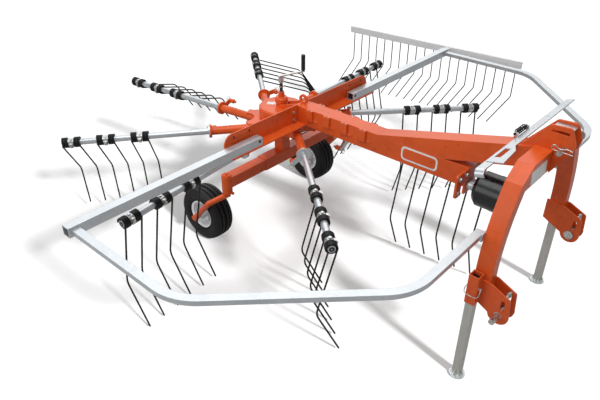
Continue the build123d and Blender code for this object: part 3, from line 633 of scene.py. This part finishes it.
class RAKE_OT_stage(bpy.types.Operator):
    """Pale floor, soft lamps and the camera"""

    bl_idname = "rake.stage"
    bl_label = "Stage"

    def execute(self, context):
        scene = context.scene
        scene.view_settings.view_transform = "Standard"
        camera = bpy.data.cameras.new("camera")
        camera.lens = 35.85
        camera.sensor_width = 36.0
        camera.sensor_fit = "HORIZONTAL"
        camera.clip_end = 100.0
        holder = bpy.data.objects.new("camera", camera)
        scene.collection.objects.link(holder)
        holder.location = at(2429, -2533, 2342)
        holder.rotation_euler = (radians(90 - 32.602), 0, radians(41.891))
        scene.camera = holder

        floor = bpy.data.objects.new("floor", mesh_of("floor", lambda shape: bmesh.ops.create_grid(
            shape, x_segments=1, y_segments=1, size=40.0, matrix=Matrix.Translation((0, 0, -0.0005)))))
        scene.collection.objects.link(floor)
        surface = Surface("pale floor")
        path = surface.add("ShaderNodeLightPath")
        seen = path.other("Is Camera Ray") + path.other("Is Transmission Ray")
        seen = seen + path.other("Is Glossy Ray") * 0.2
        lit = surface.add("ShaderNodeBsdfDiffuse", {}, {"Color": seen * 0.56 + 0.3})
        glow = surface.add("ShaderNodeEmission", {}, {"Color": (1, 1, 1, 1), "Strength": seen * 0.12})
        floor.data.materials.append(surface.done(surface.add("ShaderNodeAddShader", {}, {0: lit, 1: glow})))

        world = bpy.data.worlds.new("studio")
        scene.world = world
        world.use_nodes = True
        tree = Bench(world.node_tree)
        world.node_tree.nodes.clear()
        path = tree.add("ShaderNodeLightPath")
        seen = path.other("Is Camera Ray") + path.other("Is Transmission Ray")
        mirrored = path.other("Is Glossy Ray")
        heading = tree.add("ShaderNodeTexCoord").other("Generated")
        panel = tree.add(
            "ShaderNodeVectorMath", {"operation": "DOT_PRODUCT"},
            {0: heading, 1: (-0.53, 0.59, 0.61)}, output=1,
        )
        panel = tree.add(
            "ShaderNodeMapRange", {"interpolation_type": "SMOOTHSTEP"},
            {"Value": panel, "From Min": 0.72, "From Max": 0.97, "To Min": 0.0, "To Max": 1.45},
        )
        height = tree.add("ShaderNodeSeparateXYZ", {}, {"Vector": heading}, output=2)
        sky = tree.add(
            "ShaderNodeMapRange", {"interpolation_type": "SMOOTHSTEP"},
            {"Value": height, "From Min": -0.1, "From Max": 0.9, "To Min": 0.1, "To Max": 0.62},
        )
        pale = sky * 0.8 + 0.05
        strength = seen + (1.0 - seen) * (sky + mirrored * (pale + panel - sky))
        back = tree.add("ShaderNodeBackground", {}, {"Color": (1, 1, 1, 1), "Strength": strength})
        tree.add("ShaderNodeOutputWorld", {}, {"Surface": back})

        lamps = [
            ("top", "AREA", (0.6, -1.6, 5.4), 4.4, 132.0, False),
            ("fill", "AREA", (-1.6, -5.4, 2.4), 3.5, 76.0, False),
            ("floor sun", "SUN", (5.7, -1.0, 4.4), radians(6), 3.9, True),
        ]
        for name, kind, place, size, power, floor_only in lamps:
            lamp = bpy.data.lights.new(name, kind)
            if kind == "AREA":
                lamp.shape = "DISK"
                lamp.size = size
            else:
                lamp.angle = size
            lamp.energy = power * look().light
            stand = bpy.data.objects.new(name, lamp)
            scene.collection.objects.link(stand)
            stand.location = place
            stand.rotation_euler = (Vector((0, 0, 0.5)) - Vector(place)).to_track_quat("-Z", "Y").to_euler()
            group = bpy.data.collections.new(f"lit by {name}")
            group.objects.link(floor)
            stand.light_linking.receiver_collection = group
            if not floor_only:
                group.collection_objects[0].light_linking.link_state = "EXCLUDE"
        return {"FINISHED"}


class RAKE_OT_finishes(bpy.types.Operator):
    """Enamel, zinc, rubber and plastic on the carried over parts"""

    bl_idname = "rake.finishes"
    bl_label = "Finishes"

    def execute(self, context):
        arms = {f"tine_arm_{k + 1}": joint for k, joint in enumerate(ARM_JOINTS)}
        for part in frame["record"]["subparts"]:
            node = frame["nodes"][part["node"]]
            if part["node"] in arms:
                material = arm_finish(part["node"][-1], arms[part["node"]])
            elif part["node"] == "curtain_carrier":
                material = pale_alloy()
            else:
                material = finish_of(part["material_slot"])
            for slot in node.material_slots:
                slot.material = material
        return {"FINISHED"}


class RAKE_OT_spring_tines(bpy.types.Operator):
    """Double spring tines with wound coils on every arm"""

    bl_idname = "rake.spring_tines"
    bl_label = "Spring Tines"

    def execute(self, context):
        sizes = look()
        for k, joint in enumerate(ARM_JOINTS):
            grower = Grower(f"spring tines {k + 1}")
            wire = grower.given("Wire", sizes.wire)
            coil = grower.given("Coil Width", sizes.coil)
            length = grower.given("Coil Length", sizes.coil_length)
            spacing = grower.given("Coil Spacing", sizes.coil_spacing)
            turns = grower.given("Turns", sizes.turns)
            first = grower.given("First Tine", sizes.row_first)
            pitch = grower.given("Tine Pitch", sizes.row_pitch)
            rows = grower.given("Tines", sizes.rows)
            mean = (coil - wire) * 0.5
            run = length - wire
            start = (spacing - run) * 0.5
            helix = grower.add(
                "GeometryNodeCurveSpiral", {},
                {"Resolution": 16, "Rotations": turns, "Start Radius": mean, "End Radius": mean,
                 "Height": run, "Reverse": True},
            )
            helix = grower.moved(helix, grower.point(start, 0.0, 0.0), (0.0, pi / 2, 0.0))
            coil_wire = grower.swept(helix, wire * 0.5)
            end = start + run
            leg = grower.bent_leg(
                grower.point(end, mean, 0.0), grower.point(end, *TINE_KNEE), grower.point(end, *TINE_TIP),
                TINE_BEND, wire * 0.5,
            )
            half = grower.joined(coil_wire, leg)
            twin = grower.add("GeometryNodeFlipFaces", {}, {0: grower.moved(half, scale=(-1.0, 1.0, 1.0))})
            bridge = grower.add(
                "GeometryNodeCurvePrimitiveLine", {},
                {"Start": grower.point(start * -1.0, 0.0, mean * -1.0),
                 "End": grower.point(start, 0.0, mean * -1.0)},
            )
            pair = grower.joined(half, twin, grower.swept(bridge, wire * 0.5))
            places = grower.add(
                "GeometryNodeMeshLine", {},
                {"Count": rows, "Start Location": grower.point(first), "Offset": grower.point(pitch)},
            )
            mesh = grower.baked(grower.placed(pair, places), finish_of("black_spring_wire"),
                                matrix=arm_matrix(joint), smooth=60)
            new_piece(f"spring_tines_{k + 1}", mesh, joint["child"], "black_spring_wire",
                      replaced=(f"tines_{k + 1}",))
            grower = Grower(f"tine clamps {k + 1}")
            width = grower.given("Width", 0.052)
            gap = grower.given("Length", sizes.coil_spacing - sizes.coil_length - 0.004)
            first = grower.given("First Tine", sizes.row_first)
            pitch = grower.given("Tine Pitch", sizes.row_pitch)
            rows = grower.given("Tines", sizes.rows)
            saddle = grower.add(
                "GeometryNodeMeshCylinder", {}, {"Vertices": 24, "Radius": width * 0.5, "Depth": gap}
            )
            saddle = grower.moved(saddle, turn=(0.0, pi / 2, 0.0))
            head = grower.add(
                "GeometryNodeMeshCylinder", {}, {"Vertices": 6, "Radius": 0.0095, "Depth": 0.008}
            )
            head = grower.moved(head, grower.point(0.0, width * 0.5 + 0.008, 0.0), (pi / 2, 0.0, 0.0))
            pad = grower.add("GeometryNodeMeshCube", {}, {"Size": grower.point(gap, 0.014, 0.034)})
            pad = grower.moved(pad, grower.point(0.0, width * 0.5 - 0.002, 0.0))
            places = grower.add(
                "GeometryNodeMeshLine", {},
                {"Count": rows, "Start Location": grower.point(first), "Offset": grower.point(pitch)},
            )
            mesh = grower.baked(grower.placed(grower.joined(saddle, pad, head), places),
                                finish_of("plated_steel"), matrix=arm_matrix(joint))
            new_piece(f"tine_clamps_{k + 1}", mesh, joint["child"], "plated_steel")
        return {"FINISHED"}


class RAKE_OT_curtain_wires(bpy.types.Operator):
    """Bent round wires of the swath curtain"""

    bl_idname = "rake.curtain_wires"
    bl_label = "Curtain Wires"

    def execute(self, context):
        grower = Grower("curtain wires")
        wire = grower.given("Wire", 0.008)
        pitch = grower.given("Pitch", 0.075)
        count = grower.given("Count", 20)
        knee = grower.given("Knee", 0.230)
        tip = grower.given("Tip", 0.480)
        back = grower.given("Back", 0.150)
        leg = grower.bent_leg(
            grower.point(), grower.point(0.0, 0.0, knee * -1.0),
            grower.point(back * -1.0, 0.0, tip * -1.0), CURTAIN_BEND, wire * 0.5,
        )
        places = grower.add(
            "GeometryNodeMeshLine", {},
            {"Count": count, "Start Location": grower.point((1 - count) * pitch * 0.5),
             "Offset": grower.point(pitch)},
        )
        matrix = Matrix.Translation(at(61, 1668, 776)) @ Matrix.Rotation(radians(4.4), 4, "Z")
        mesh = grower.baked(grower.placed(leg, places), finish_of("black_spring_wire"),
                            matrix=matrix, smooth=60)
        new_piece("curtain_wires", mesh, "curtain", "black_spring_wire", replaced=("curtain_tines",))
        return {"FINISHED"}


class RAKE_OT_tyres(bpy.types.Operator):
    """Ribbed tyres with moulded rings on the side walls"""

    bl_idname = "rake.tyres"
    bl_label = "Tyres"

    def execute(self, context):
        for side, sign in SIDES.items():
            low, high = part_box(f"tyre_{side}")
            centre = (low + high) / 2
            place = Matrix.Translation(centre) @ Matrix.Rotation(-sign * pi / 2, 4, "X")
            half = [
                (44, 85), (48, 97), (60, 104), (67, 111), (70, 118), (72, 119), (75, 137),
                (74, 140), (74.5, 146), (71, 154), (63, 168), (57, 173), (48, 176.5),
            ]
            tread = [(36, 178.6), (34, 171), (29, 171), (27, 179.4), (9, 180), (7, 172), (3, 172), (1.2, 180)]
            outer = half + tread
            profile = outer + [(-z, r) for z, r in reversed(outer)]

            def build(shape):
                turned(shape, profile, place, 96)

            new_piece(f"ribbed_tyre_{side}", mesh_of(f"ribbed tyre {side}", build, 30), f"wheel_{side}",
                      "tyre_rubber", replaced=(f"tyre_{side}",))
        return {"FINISHED"}


class RAKE_OT_fasteners(bpy.types.Operator):
    """Hexagon bolts with washers"""

    bl_idname = "rake.fasteners"
    bl_label = "Bolts And Nuts"

    def execute(self, context):
        fore = (1, 0, 0)
        places = {"frame": []}
        for sign in SIDES.values():
            for z in (794, 841):
                places["frame"].append((at(184, sign * 84, z), fore, 1.0))
            places["frame"] += [
                (at(1333, sign * 139, 772), fore, 1.0),
                (at(1333, sign * 139, 850), fore, 1.0),
                (at(1333, sign * 74, 850), fore, 1.0),
            ]
            side = "left" if sign > 0 else "right"
            low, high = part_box(f"rim_{side}")
            centre = (low + high) / 2
            ring = []
            for face in (-1, 1):
                deep = 0.0 if face == sign else 0.008
                for k in range(5):
                    turn = 2 * pi * k / 5
                    spot = centre + Vector((0.057 * cos(turn), face * deep, 0.057 * sin(turn)))
                    ring.append((spot, (0, face, 0), 1.0))
            places[f"wheel_{side}"] = ring
        for body, points in places.items():
            grower = Grower(f"bolts {body}")
            shank = grower.given("Shank", look().bolt)
            head = grower.add(
                "GeometryNodeMeshCylinder", {}, {"Vertices": 6, "Radius": shank * 0.92, "Depth": shank * 0.6}
            )
            head = grower.moved(head, grower.point(0.0, 0.0, shank * 0.5))
            washer = grower.add(
                "GeometryNodeMeshCylinder", {}, {"Vertices": 24, "Radius": shank, "Depth": shank * 0.2}
            )
            washer = grower.moved(washer, grower.point(0.0, 0.0, shank * 0.1))
            aim = grower.add(
                "GeometryNodeInputNamedAttribute", {"data_type": "FLOAT_VECTOR"}, {"Name": "aim"}
            )
            size = grower.add("GeometryNodeInputNamedAttribute", {"data_type": "FLOAT"}, {"Name": "size"})
            turn = grower.add("FunctionNodeAlignRotationToVector", {"axis": "Z"}, {"Vector": aim})
            thing = grower.placed(grower.joined(head, washer), grower.geometry(), turn, size)
            mesh = grower.baked(thing, finish_of("plated_steel"), seed_points(f"bolt places {body}", points))
            new_piece(f"bolts_{body}", mesh, body, "plated_steel")
        return {"FINISHED"}


class RAKE_OT_plates(bpy.types.Operator):
    """Bare plates where signs would be"""

    bl_idname = "rake.plates"
    bl_label = "Bare Plates"

    def execute(self, context):
        def rounded_plate(shape, width, height, corner, y, thick):
            outline = []
            for k in range(24):
                turn = 2 * pi * (k + 0.5) / 24
                across, up = cos(turn), sin(turn)
                outline.append((
                    (width / 2 - corner) * (1 if across > 0 else -1) + corner * across,
                    (height / 2 - corner) * (1 if up > 0 else -1) + corner * up,
                ))
            near = [shape.verts.new(at(1044.5 + x, y, 828 + z)) for x, z in outline]
            far = [shape.verts.new(at(1044.5 + x, y + thick, 828 + z)) for x, z in outline]
            shape.faces.new(near)
            shape.faces.new(far[::-1])
            for k in range(24):
                shape.faces.new((near[k], near[k - 1], far[k - 1], far[k]))

        def frame_plate(shape):
            rounded_plate(shape, 222, 80, 24, -51.2, 1.2)

        def front_sheet(shape):
            corners = [(-252, 1077), (-92, 1077), (-76, 1006), (-236, 1006)]
            low = [shape.verts.new(at(1698, y, z)) for y, z in corners]
            high = [shape.verts.new(at(1699.2, y, z)) for y, z in corners]
            shape.faces.new(low[::-1])
            shape.faces.new(high)
            for k in range(4):
                shape.faces.new((low[k], low[k - 1], high[k - 1], high[k]))

        def drum_sheet(shape):
            place = Matrix.Translation(at(-62, -22, 814.5)) @ Matrix.Rotation(radians(35), 4, "Z")
            slab(shape, place, (62, 40, 1.0), 0.3)

        sheets = (("boom_plate", frame_plate), ("arch_plate", front_sheet), ("drum_plate", drum_sheet))
        for name, build in sheets:
            new_piece(name, mesh_of(name, build), "frame", "orange_paint", finish_of("bare_label"))

        def face(shape):
            rounded_plate(shape, 202, 60, 18, -51.9, 0.7)
        new_piece("boom_plate_face", mesh_of("boom plate face", face), "frame", "orange_paint")

        def shim(shape):
            slab(shape, Matrix.Translation(at(1712, 0, 1206)), (88, 56, 8), 1.0)
            place = Matrix.Translation(at(1768, 43, 1170)) @ Matrix.Rotation(pi / 2, 4, "X")
            turned(shape, [(-2, 0.2), (-2, 23), (3, 23), (3, 0.2)], place, 40)
        new_piece("mast_shim", mesh_of("mast shim", shim), "frame", "galvanised_steel")

        def stamped(shape):
            for sign in SIDES.values():
                for step in range(2):
                    y = 582 - 130 * step
                    place = Matrix.Translation(at(184, sign * y, 862)) @ Matrix.Rotation(pi / 2, 4, "Y")
                    turned(shape, [(-1, 0.2), (-1, 13), (1.4, 11), (1.4, 0.2)], place, 28)
                slab(shape, Matrix.Translation(at(184, sign * 517, 862)), (2.8, 130, 22), 1.2)
        new_piece("web_ribs", mesh_of("web ribs", stamped), "frame", "orange_paint")
        return {"FINISHED"}


class RAKE_OT_plugs_and_hole_shade(bpy.types.Operator):
    """Black plugs in the ends of the arms' tubes, and black sheets and discs as painted shade in the open bar
    ends, the bars' holes, the boom's pocket holes and the stands' open tops
    """

    bl_idname = "rake.plugs"
    bl_label = "Tube Plugs And Painted Hole Shade"

    def execute(self, context):
        bar_ends = (-1623.5, -430.0, 430.0)

        def hole_shade_in_bars(shape):
            # painted shade: black sheets inside the open ends of the side bars stand for the dark inside of the
            # tubes
            for y in bar_ends:
                slab(shape, Matrix.Translation(at(224, y, 801)), (BAR_INSIDE, 3, BAR_INSIDE), 0.6)
            for sign in SIDES.values():
                # painted shade: a black disc on each bar's front face, near its inner end, stands for a dark hole
                place = Matrix.Translation(at(249, sign * 441, 806)) @ Matrix.Rotation(pi / 2, 4, "Y")
                turned(shape, [(-1, 0.2), (-1, 9), (1, 9), (0.6, 0.2)], place, 24)
                # painted shade: black discs in the holes of the pocket ears along the boom's top
                for k in range(4):
                    place = Matrix.Translation(at(285 + 130 * k, sign * 57, BOOM_TOP))
                    turned(shape, [(-1, 0.2), (-1, 7), (0.4, 7), (0.4, 0.2)], place, 24)
        new_piece("bar_hole_shade", mesh_of("bar hole shade", hole_shade_in_bars), "frame", "black_plastic")
        for side, sign in SIDES.items():
            def shade_in_stand(shape):
                # painted shade: a black sheet in the stand tube's open top stands for its dark inside
                slab(shape, Matrix.Translation(at(1641, sign * 480, 616.5)), (39, 39, 6), 1.2)
            new_piece(f"stand_top_shade_{side}", mesh_of(f"stand top shade {side}", shade_in_stand), f"stand_{side}",
                      "black_plastic")
        for k, joint in enumerate(ARM_JOINTS):
            place = arm_matrix(joint) @ Matrix.Translation((ARM_TIP, 0, 0)) @ Matrix.Rotation(pi / 2, 4, "Y")

            def in_arm(shape):
                turned(shape, [(0, 4.2), (0, 15), (1.8, 14), (2.2, 4.2)], place, 32)
            new_piece(f"arm_plug_{k + 1}", mesh_of(f"arm plug {k + 1}", in_arm), joint["child"],
                      "black_plastic")
        return {"FINISHED"}


class RAKE_OT_clips(bpy.types.Operator):
    """Spring clips and rings that hold the pins"""

    bl_idname = "rake.clips"
    bl_label = "Clips"

    def execute(self, context):
        bow = [
            (1794, 1127), (1760, 1128), (1720, 1128), (1704, 1131), (1699, 1141), (1704, 1151),
            (1715, 1153), (1724, 1145), (1738, 1138), (1752, 1142), (1768, 1150), (1792, 1142),
        ]
        wire_object("top_pin_clip", [[at(x, -84, z) for x, z in bow]], 2.4, "frame", "plated_steel")
        for side, sign in SIDES.items():
            loop = [
                (1672, 480, 563), (1677, 492, 556), (1677, 508, 540), (1668, 513, 533), (1640, 514, 533),
                (1614, 513, 536), (1606, 506, 545), (1605, 490, 562), (1612, 480, 566),
            ]
            wire_object(f"stand_clip_{side}", [[at(x, sign * y, z) for x, y, z in loop]], 2.2, "frame",
                        "plated_steel")

            def pins(shape):
                ends = Matrix.Translation(at(1670, sign * 480, 563)) @ Matrix.Rotation(pi / 2, 4, "Y")
                turned(shape, [(-4, 0.2), (-4, 8.5), (5, 8.5), (7, 6.5), (7, 0.2)], ends, 28)
                cross = Matrix.Translation(at(1778, sign * 419.5, 552)) @ Matrix.Rotation(pi / 2, 4, "X")
                stepped = [(-27, 0.2), (-27, 9), (-10, 9), (-9, 12), (3, 12), (4, 9), (27, 9), (27, 0.2)]
                turned(shape, stepped, cross, 28)
            new_piece(f"pin_heads_{side}", mesh_of(f"pin heads {side}", pins), "frame", "plated_steel")

            def hole(shape):
                # painted shade: a thin black disc lying flat stands for the dark inside of a pin's hole
                end = Matrix.Translation(at(1762, sign * 505, 463.6))
                turned(shape, [(0, 0.2), (0, 3.4), (0.7, 3.4), (0.7, 0.2)], end, 20)
            new_piece(f"pin_hole_shade_{side}", mesh_of(f"pin hole shade {side}", hole), "frame", "black_plastic")
        lever = (LEVER_ARM * cos(radians(LEVER_ANGLE)), LEVER_ARM * sin(radians(LEVER_ANGLE)))
        for k, joint in enumerate(ARM_JOINTS):
            matrix = arm_matrix(joint)
            ring = []
            for step in range(13):
                turn = 2 * pi * step / 12
                ring.append(matrix @ Vector((
                    0.477, (lever[0] + 14 * cos(turn) - 8) / 1000, (lever[1] + 16 * sin(turn) - 6) / 1000)))
            wire_object(f"lever_ring_{k + 1}", [ring], 1.8, joint["child"], "plated_steel")
        return {"FINISHED"}


class RAKE_OT_springs(bpy.types.Operator):
    """The latch spring on the rack and the thread of the height spindle"""

    bl_idname = "rake.springs"
    bl_label = "Spring And Thread"

    def execute(self, context):
        grower = Grower("latch spring")
        wire = grower.given("Wire", 0.0052)
        width = grower.given("Width", 0.030)
        length = grower.given("Length", 0.084)
        turns = grower.given("Turns", 4.5)
        mean = (width - wire) * 0.5
        helix = grower.add(
            "GeometryNodeCurveSpiral", {},
            {"Resolution": 20, "Rotations": turns, "Start Radius": mean, "End Radius": mean,
             "Height": length},
        )
        rod = grower.add("GeometryNodeMeshCylinder", {}, {"Vertices": 20, "Radius": 0.0058, "Depth": 0.136})
        rod = grower.moved(rod, grower.point(0.0, 0.0, length * 0.5))
        matrix = Matrix.Translation(at(1485, 58, 1086)) @ Matrix.Rotation(-pi / 2, 4, "X")
        mesh = grower.baked(grower.joined(grower.swept(helix, wire * 0.5), rod),
                            finish_of("black_spring_wire"), matrix=matrix, smooth=60)
        new_piece("latch_spring", mesh, "frame", "black_spring_wire")

        def brackets(shape):
            for y in (44, 160):
                slab(shape, Matrix.Translation(at(1491, y, 1079)), (22, 4, 26), 0.8)
        new_piece("latch_ears", mesh_of("latch ears", brackets), "frame", "galvanised_steel")

        grower = Grower("spindle thread")
        pitch = grower.given("Pitch", 0.003)
        count = grower.given("Turns", 18)
        width = grower.given("Width", 0.0202)
        ring = grower.add(
            "GeometryNodeMeshCone", {},
            {"Vertices": 32, "Radius Top": width * 0.42, "Radius Bottom": width * 0.52, "Depth": pitch},
        )
        column = grower.add(
            "GeometryNodeMeshLine", {}, {"Count": count, "Offset": grower.point(0.0, 0.0, pitch)}
        )
        mesh = grower.baked(grower.placed(ring, column), finish_of("black_spring_wire"),
                            matrix=Matrix.Translation(at(0, 0, 906)), smooth=20)
        new_piece("spindle_thread", mesh, "frame", "black_spring_wire")

        def band(shape):
            turned(shape, [(-4, 9.5), (-4, 15.5), (4, 15.5), (4, 9.5)], Matrix.Translation(at(0, 0, 938)), 32)
        new_piece("spindle_nut", mesh_of("spindle nut", band), "frame", "plated_steel")
        return {"FINISHED"}


class RAKE_OT_wheel_parts(bpy.types.Operator):
    """Rings and cap of the rims"""

    bl_idname = "rake.wheel_parts"
    bl_label = "Wheel Parts"

    def execute(self, context):
        for side, sign in SIDES.items():
            low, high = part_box(f"rim_{side}")
            centre = (low + high) / 2
            for face in (-1, 1):
                place = Matrix.Translation(centre) @ Matrix.Rotation(-face * pi / 2, 4, "X")
                deep = 0 if face == sign else 8

                def rings(shape):
                    for inner, outer, high in ((34, 43, 9), (68, 75, 7)):
                        profile = [
                            (deep - 1, inner), (deep + high - 2, inner), (deep + high, (inner + outer) / 2),
                            (deep + high - 2, outer), (deep - 1, outer),
                        ]
                        turned(shape, profile, place, 64)
                    turned(shape, [(48, 80), (50, 79), (56, 90), (57, 94), (54, 95), (50, 88)], place, 64)
                    turned(shape, [(58, 0.2), (58, 25), (64, 23), (67, 12), (67, 0.2)], place, 40)
                name = f"rim_rings_{side}_{'out' if face == sign else 'in'}"
                new_piece(name, mesh_of(name, rings), f"wheel_{side}", "silver_rim")
        return {"FINISHED"}


class RAKE_PT_panel(bpy.types.Panel):
    """Lists the steps in the sidebar"""

    bl_label = "Hay Rake"
    bl_space_type = "VIEW_3D"
    bl_region_type = "UI"
    bl_category = "Hay Rake"

    def draw(self, context):
        for name in RakeLook.__annotations__:
            self.layout.prop(context.scene.rake_look, name)
        for step in STEPS:
            self.layout.operator(step.bl_idname)


STEPS = (
    RAKE_OT_stage, RAKE_OT_finishes, RAKE_OT_spring_tines, RAKE_OT_curtain_wires, RAKE_OT_tyres,
    RAKE_OT_fasteners, RAKE_OT_plates, RAKE_OT_plugs_and_hole_shade, RAKE_OT_clips, RAKE_OT_springs, RAKE_OT_wheel_parts,
)
CLASSES = (RakeLook, *STEPS, RAKE_PT_panel)


def register():
    """Adds the classes and the sizes."""
    for item in CLASSES:
        bpy.utils.register_class(item)
    bpy.types.Scene.rake_look = bpy.props.PointerProperty(type=RakeLook)


def unregister():
    """Takes them out again."""
    del bpy.types.Scene.rake_look
    for item in reversed(CLASSES):
        bpy.utils.unregister_class(item)


def main():
    """Runs every step."""
    register()
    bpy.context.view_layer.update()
    for step in STEPS:
        group, name = step.bl_idname.split(".")
        getattr(getattr(bpy.ops, group), name)()


if __name__ == "__main__":
    main()
